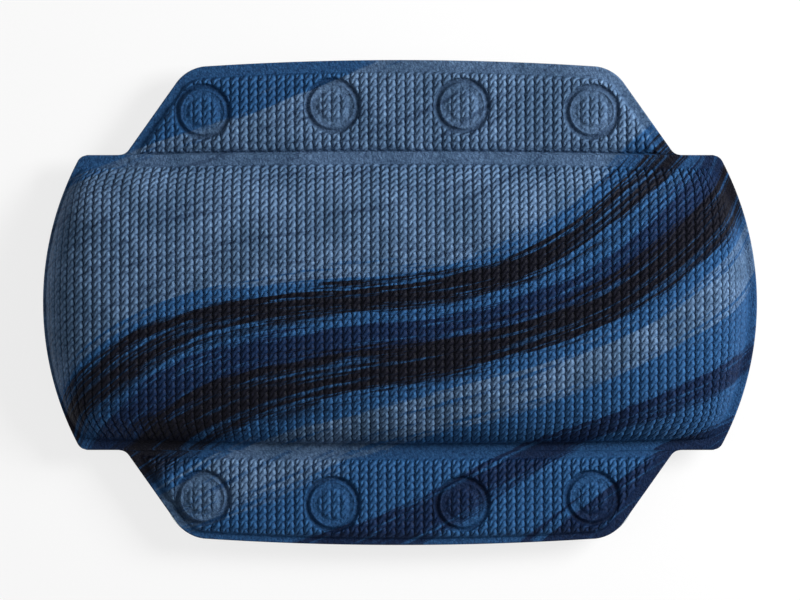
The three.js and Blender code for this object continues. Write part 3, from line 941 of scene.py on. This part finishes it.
def rope_group(emboss):
    """The strands of the ropes: the same bulging dome and climbing grooves as the relief, cut finer, with
    masks for where painted shade goes in the hollows and painted highlights go on the lips.
    """
    scallop = {"Scallop": emboss.scallop, "Meeting": emboss.scallop_place}
    inputs = {"Place": None, "Lean": emboss.twist_lean, **scallop}
    tree, given, result = shader_group("rope_strands", inputs, ("Height", "Hollow", "Lip"))
    turns, twists, pressed = apart(given["Place"])
    bulge = maths("ABSOLUTE", maths("SINE", (twists - given["Meeting"]) * math.pi))
    place = maths("FRACT", turns - (bulge - MEAN_BULGE) * given["Scallop"])
    dome = maths("POWER", maths("MAXIMUM", maths("SINE", place * math.pi), 0.0), DOME_POWER)
    climb_to = CLIMB_FROM + CLIMB_WIDTH
    climbing = {"Value": place, "From Min": CLIMB_FROM, "From Max": climb_to, "To Max": math.pi / 2}
    climb = maths("SINE", node(tree, "ShaderNodeMapRange", "Result", climbing))
    strand = maths("FRACT", twists - climb * given["Lean"])
    line = groove_depth(strand, 0.055, 0.08) * rise(place, 0.05, 0.22) * (1.0 - bell(place, 0.66, 0.12) * 0.6)
    height = dome - groove_depth(strand, WALL_ABOVE, WALL_BELOW) * dome * 0.42 - line * 0.16
    # Hollow: where shade is painted, in the grooves beside each rope and between its strands.
    hollow = maths("MAXIMUM", 1.0 - rise(dome, 0.36, 0.76), line)
    # Lip: where highlights are painted, on each strand's lip above its groove and on the rope's right flank,
    # the faces turned to the key lamp.
    top_lip = bell(strand, 0.24, 0.17) * bell(place, 0.36, 0.24)
    flank_lip = bell(place, 0.79, 0.10) * (1.0 - groove_depth(strand, 0.12, 0.16))
    feed(result["Height"], height * pressed)
    feed(result["Hollow"], hollow * pressed)
    feed(result["Lip"], maths("MAXIMUM", top_lip, flank_lip) * pressed)


def groove_depth(strand, above, below):
    """How deep a groove is, from 0 to about 1: it falls off as an exponential on either side."""
    return maths("EXPONENT", strand * (-1 / above)) + maths("EXPONENT", (strand - 1.0) * (1 / below))


def flow_group():
    """A slanting, waving flow: how far a place lies across it, ragged by noise drawn out along it."""
    inputs = {"Place": None, "Slant": -0.45, "Wave": 0.012, "Length": 0.050, "Ragged": 0.045}
    tree, given, result = shader_group("brushed_flow", inputs, ("Across", "Streak"))
    x, y, _ = apart(given["Place"])
    turn = x / given["Length"]
    flow = x * given["Slant"] + y + maths("SINE", turn + 0.6) * given["Wave"]
    flow = flow + maths("SINE", turn * 0.6 + y * 33.0) * given["Wave"] * 0.7
    streak = noise(node(tree, "ShaderNodeCombineXYZ", 0, {"X": x * 14.0, "Y": flow * 260.0}), 1.0, 6.0, 0.66)
    feed(result["Streak"], streak)
    feed(result["Across"], (streak - 0.5) * given["Ragged"] + flow)


def new_material(name):
    """A material with one Principled shader, its node tree, and the shader's inputs."""
    material = bpy.data.materials.new(name)
    material.use_nodes = True
    return material, material.node_tree, material.node_tree.nodes["Principled BSDF"].inputs


def ribbon(across, low, high, soft=0.0022):
    """A mask that is 1 between two places across the flow."""
    return rise(across, low - soft, low + soft) * (1.0 - rise(across, high - soft, high + soft))


def print_colour(tree, place, colours):
    """The print: slanting ribbons of blue, navy and near black over cloudy slate, all faintly speckled."""
    across, streak = placed(tree, "brushed_flow", Place=place).values()
    clouds = rise(noise(place, 38.0, 5.0, 0.62), 0.36, 0.64)
    colour = between(clouds, colours.mist, colours.pale)
    colour = between(rise(streak, 0.55, 0.62) * 0.45, colour, colours.navy)
    ribbons = (
        (-0.046, 0.026, colours.blue), (-0.038, -0.010, colours.night), (-0.016, -0.003, colours.navy),
        (0.003, 0.019, colours.night), (-0.300, -0.066, colours.blue), (-0.300, -0.090, colours.navy),
        (-0.128, -0.104, colours.blue), (0.118, 0.300, colours.blue),
    )
    for low, high, paint in ribbons:
        colour = between(ribbon(across, low, high), colour, paint)
    bright = rise(streak, 0.52, 0.66) * ribbon(across, -0.300, 0.028)
    colour = between(bright * 0.75, colour, colours.blue)
    speckle = noise(place, 560.0, 3.0, 0.6)
    colour = between(1.0 - rise(speckle, 0.30, 0.60), colour, (0.62, 0.64, 0.68), "MULTIPLY")
    return between(rise(speckle, 0.54, 0.72), colour, (1.35, 1.32, 1.26), "MULTIPLY")


def printed_material(name, colours):
    """Printed foamed PVC with leather-like grain. Painted shade darkens the hollows of the ropes, the ring
    welds' grooves and the puckers. Along the cut edge it takes the cut edge's colour, and painted highlights
    make the strands' lit lips and right flanks paler."""
    material, tree, shader = new_material(name)
    place = attribute(tree, "sheet_place")
    rope_place = attribute(tree, "rope_place")
    height, hollow, lip = placed(tree, "rope_strands", Place=rope_place).values()
    grain = placed(tree, "sheet_grain", Place=place, Size=0.0011)["Height"]
    _, _, roped = apart(rope_place)
    plain = 1.0 - roped * 0.6
    pits = rise(grain, 0.16, -0.22) * plain
    colour = between(pits, print_colour(tree, place, colours), (0.62, 0.64, 0.69), "MULTIPLY")
    # Painted shade: the rope hollows, the ring welds' grooves and the puckers are darkened in the colour,
    # standing in for the shade that falls in them.
    dark = maths("MAXIMUM", hollow * 0.88, attribute(tree, "crease", "Fac") * 0.5)
    colour = between(dark, colour, (0.07, 0.11, 0.17), "MULTIPLY")
    # Painted highlight: the strands' lit lips and right flanks are made paler in the colour.
    colour = between(lip, colour, colours.highlighted, "MULTIPLY")
    cut = rise(attribute(tree, "cut", "Fac"), 0.1, 0.9)
    feed(shader["Base Color"], between(cut, colour, colours.cut_edge))
    feed(shader["Roughness"], hollow * 0.15 + grain * 0.16 + 0.52)
    feed(shader["Specular IOR Level"], 0.07)
    feed(shader["Normal"], bump(grain * plain, 0.0006, Normal=bump(height, 0.0009)))
    return material


def backing_material(name, colours):
    """Plain foamed PVC: one dark colour, paler on its fine grain."""
    material, tree, shader = new_material(name)
    grain = placed(tree, "sheet_grain", Place=attribute(tree, "sheet_place"), Size=0.0011)["Height"]
    paler = [min(1.0, part * 1.8 + 0.004) for part in colours.backing]
    feed(shader["Base Color"], between(rise(grain, -0.25, 0.35), colours.backing, paler))
    feed(shader["Roughness"], grain * 0.2 + 0.58)
    feed(shader["Specular IOR Level"], 0.25)
    feed(shader["Normal"], bump(grain, 0.0005))
    return material


def cup_material(name, colours):
    """Clear soft PVC: it lets light through, and its gloss varies a little as on a handled surface."""
    material, tree, shader = new_material(name)
    feed(shader["Base Color"], colours.cup)
    feed(shader["Transmission Weight"], 0.92)
    feed(shader["IOR"], 1.48)
    place = node(tree, "ShaderNodeTexCoord", "Object", {})
    feed(shader["Roughness"], placed(tree, "sheet_grain", Place=place, Size=0.004)["Mottling"] * 0.16 + 0.06)
    return material


FINISHES = {
    "printed_foam_sheet": ("rope_embossed_print", printed_material),
    "dark_backing_sheet": ("grained_backing", backing_material),
    "clear_soft_pvc": ("clear_cup_vinyl", cup_material),
}


def finish(scene, slot):
    """The finish of a slot. The node groups and each material are made when they are first asked for."""
    if "sheet_grain" not in bpy.data.node_groups:
        grain_group()
        rope_group(scene.pillow_emboss)
        flow_group()
    name, make = FINISHES[slot]
    return bpy.data.materials.get(name) or make(name, scene.pillow_colours)


# Operators, one for each group of pieces

class PILLOW_OT_body(bpy.types.Operator):
    """Builds the padded body: the embossed front and the plain back"""

    bl_idname = "pillow.body"
    bl_label = "Body"

    def execute(self, context):
        scene = context.scene
        front = build_body_front(scene.pillow_shape, scene.pillow_emboss)
        front.data.materials.append(finish(scene, "printed_foam_sheet"))
        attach(front, "cushion")
        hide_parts("body_front_cover", "body_foam_core")
        back = build_body_back(scene.pillow_shape, scene.pillow_emboss)
        back.data.materials.append(finish(scene, "dark_backing_sheet"))
        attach(back, "cushion")
        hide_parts("body_back_cover")
        return {"FINISHED"}


class PILLOW_OT_flaps(bpy.types.Operator):
    """Builds the two flaps beside the body"""

    bl_idname = "pillow.flaps"
    bl_label = "Flaps"

    def execute(self, context):
        scene = context.scene
        shape = scene.pillow_shape
        for place, side in SIDES.items():
            flap = f"{place}_flap"
            front = build_flap_front(place, shape, scene.pillow_emboss)
            front.data.materials.append(finish(scene, "printed_foam_sheet"))
            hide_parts(f"{flap}_front_cover", f"{flap}_wadding")
            back = build_flap_back(place, shape)
            back.data.materials.append(finish(scene, "dark_backing_sheet"))
            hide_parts(f"{flap}_back_cover")
            for piece in (front, back):
                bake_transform(piece)
        return {"FINISHED"}


class PILLOW_OT_cups(bpy.types.Operator):
    """Builds the eight clear suction cups under the flaps"""

    bl_idname = "pillow.cups"
    bl_label = "Suction cups"

    def execute(self, context):
        scene = context.scene
        for place in SIDES:
            for number in range(1, ROW_OF_CUPS + 1):
                build_and_hang_cup(scene, place, number)
        return {"FINISHED"}


def build_and_hang_cup(scene, place, number):
    """One cup on its flap."""
    node_name = f"{place}_suction_cup_{number}"
    cup = build_cup(node_name, scene.pillow_cup)
    cup.data.materials.append(finish(scene, "clear_soft_pvc"))
    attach(cup, f"{place}_flap")
    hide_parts(node_name)
    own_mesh(cup)


class PILLOW_OT_studio(bpy.types.Operator):
    """Sets up the floor, the lamps, the room light and the camera"""

    bl_idname = "pillow.studio"
    bl_label = "Studio"

    def execute(self, context):
        studio = context.scene.pillow_studio
        studio_floor()
        lamp("key_lamp", studio.key_place, studio.key_power, studio.key_width)
        lamp("fill_lamp", studio.fill_place, studio.fill_power, studio.fill_width)
        room(studio.room_light)
        camera(studio)
        context.scene.view_settings.view_transform = "Standard"
        return {"FINISHED"}


def studio_floor():
    """A wide plain floor just under the pillow, near white to the camera but for the shadow."""
    half, drop = 6.0, -0.0002
    corners = np.array([[-half, -half, drop], [half, -half, drop], [half, half, drop], [-half, half, drop]])
    floor = mesh_object("studio_floor", corners, np.array([[0, 1, 2, 3]]))
    material, tree, shader = new_material("pale_floor")
    feed(shader["Base Color"], (0.9, 0.9, 0.9))
    feed(shader["Roughness"], 0.9)
    plain = Value(tree.nodes["Principled BSDF"].outputs[0])
    glow = node(tree, "ShaderNodeEmission", 0, {})
    mix = node(tree, "ShaderNodeMixShader", 0, {0: seen_directly(tree) * 0.78, 1: plain, 2: glow})
    feed(tree.nodes["Material Output"].inputs["Surface"], mix)
    floor.data.materials.append(material)


def seen_directly(tree):
    """1 for rays that show the background: from the camera, from a glossy face or through a clear one."""
    path = values_of(tree.nodes.new("ShaderNodeLightPath"))
    seen = maths("MAXIMUM", path["Is Camera Ray"], path["Is Glossy Ray"])
    return maths("MAXIMUM", seen, path["Is Transmission Ray"])


def lamp(name, place, power, width):
    """A square soft lamp that faces the pillow."""
    data = bpy.data.lights.new(name, "AREA")
    data.energy = power
    data.size = width
    made = linked(name, data)
    made.location = place
    made.rotation_euler = Vector(place).to_track_quat("Z", "Y").to_euler()


def room(strength):
    """Light from all round, and white where the camera sees it."""
    world = bpy.data.worlds.new("studio_room")
    bpy.context.scene.world = world
    world.use_nodes = True
    tree = world.node_tree
    inputs = {"Value": seen_directly(tree), "To Min": strength, "To Max": 1.0}
    background = tree.nodes["Background"].inputs
    feed(background["Color"], (1.0, 1.0, 1.0))
    feed(background["Strength"], node(tree, "ShaderNodeMapRange", "Result", inputs))


def camera(studio):
    """A long lens straight above the pillow."""
    data = bpy.data.cameras.new("studio_camera")
    data.sensor_width = 36.0
    data.lens = 36.0 * studio.camera_height / studio.picture_width
    data.clip_end = 100.0
    made = linked("studio_camera", data)
    made.location = (0.0, studio.picture_rise, seam_height() + studio.camera_height)
    bpy.context.scene.camera = made


GROUPS = {
    "pillow_shape": PillowShape,
    "pillow_emboss": PillowEmboss,
    "pillow_cup": PillowCup,
    "pillow_colours": PillowColours,
    "pillow_studio": PillowStudio,
}
OPERATORS = (PILLOW_OT_body, PILLOW_OT_flaps, PILLOW_OT_cups, PILLOW_OT_studio)


class PILLOW_PT_panel(bpy.types.Panel):
    """Lists the pillow's settings and the buttons that build it"""

    bl_idname = "PILLOW_PT_panel"
    bl_label = "Bath pillow"
    bl_space_type = "VIEW_3D"
    bl_region_type = "UI"
    bl_category = "Pillow"

    def draw(self, context):
        for operator in OPERATORS:
            self.layout.operator(operator.bl_idname)
        for name, group in GROUPS.items():
            box = self.layout.box()
            settings = getattr(context.scene, name)
            for setting in group.__annotations__:
                box.prop(settings, setting)


def register():
    for item in (*GROUPS.values(), *OPERATORS, PILLOW_PT_panel):
        bpy.utils.register_class(item)
    for name, group in GROUPS.items():
        setattr(bpy.types.Scene, name, PointerProperty(type=group))


def unregister():
    for name in GROUPS:
        delattr(bpy.types.Scene, name)
    for item in (PILLOW_PT_panel, *OPERATORS, *GROUPS.values()):
        bpy.utils.unregister_class(item)


def main():
    """Builds everything in order."""
    register()
    bpy.ops.pillow.body()
    bpy.ops.pillow.flaps()
    bpy.ops.pillow.cups()
    bpy.ops.pillow.studio()


if __name__ == "__main__":
    main()
